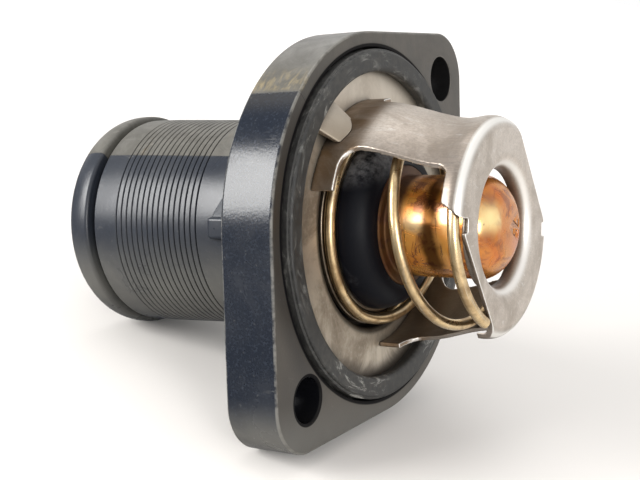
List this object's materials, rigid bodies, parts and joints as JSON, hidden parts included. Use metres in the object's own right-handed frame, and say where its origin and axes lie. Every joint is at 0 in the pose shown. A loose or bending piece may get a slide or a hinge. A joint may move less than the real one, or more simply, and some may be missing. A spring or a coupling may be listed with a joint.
{
  "type": "engine thermostat with outlet housing",
  "caption": "Engine coolant thermostat: a wax capsule, spring and valve in a steel bridge frame, sealed in a black plastic flange with bolt ears and a grooved hose neck.",
  "frame": {"origin": "centre of the hose end of the neck, on the valve axis; the flange face lies 56.6 mm above it", "axes": "+Z along the valve axis towards the wax capsule, -Z towards the hose end; +X towards the larger bolt hole; +Y completes a right-handed frame"},
  "size_m": [0.0896, 0.0674, 0.0807],
  "materials": {
    "housing_plastic": "black glass-filled nylon with a soft sheen",
    "seal_rubber": "matt black, scuffed",
    "plate_steel": "matt grey-beige sheet",
    "frame_steel": "brushed stainless sheet",
    "spring_steel": "yellowish passivated wire",
    "disc_steel": "dull brown-grey sheet",
    "valve_rubber": "black moulded rubber",
    "cup_copper": "burnished copper alloy",
    "wax": "pale wax",
    "diaphragm_rubber": "black rubber",
    "gel": "greenish transfer gel",
    "plug_rubber": "black rubber",
    "washer_plastic": "white low-friction plastic",
    "guide_brass": "turned brass",
    "piston_steel": "polished stainless"
  },
  "bodies": {
    "housing": {"housing": "housing_plastic", "flange_seal": "seal_rubber", "seat_plate": "plate_steel", "bridge_frame": "frame_steel", "main_spring": "spring_steel", "piston": "piston_steel", "rubber_plug": "plug_rubber", "anti_extrusion_washer": "washer_plastic"},
    "capsule": {"valve_disc": "disc_steel", "valve_rubber": "valve_rubber", "capsule_cup": "cup_copper", "wax_charge": "wax", "diaphragm": "diaphragm_rubber", "transfer_gel": "gel", "capsule_guide": "guide_brass"}
  },
  "joints": [
    {"name": "valve_lift", "type": "slide", "parent": "housing", "child": "capsule", "axis": [0, 0, 1], "range_m": [0, 0.008], "stiffness_N_per_m": 2900, "springref_m": -0.01, "deforming": ["main_spring"]}
  ]
}
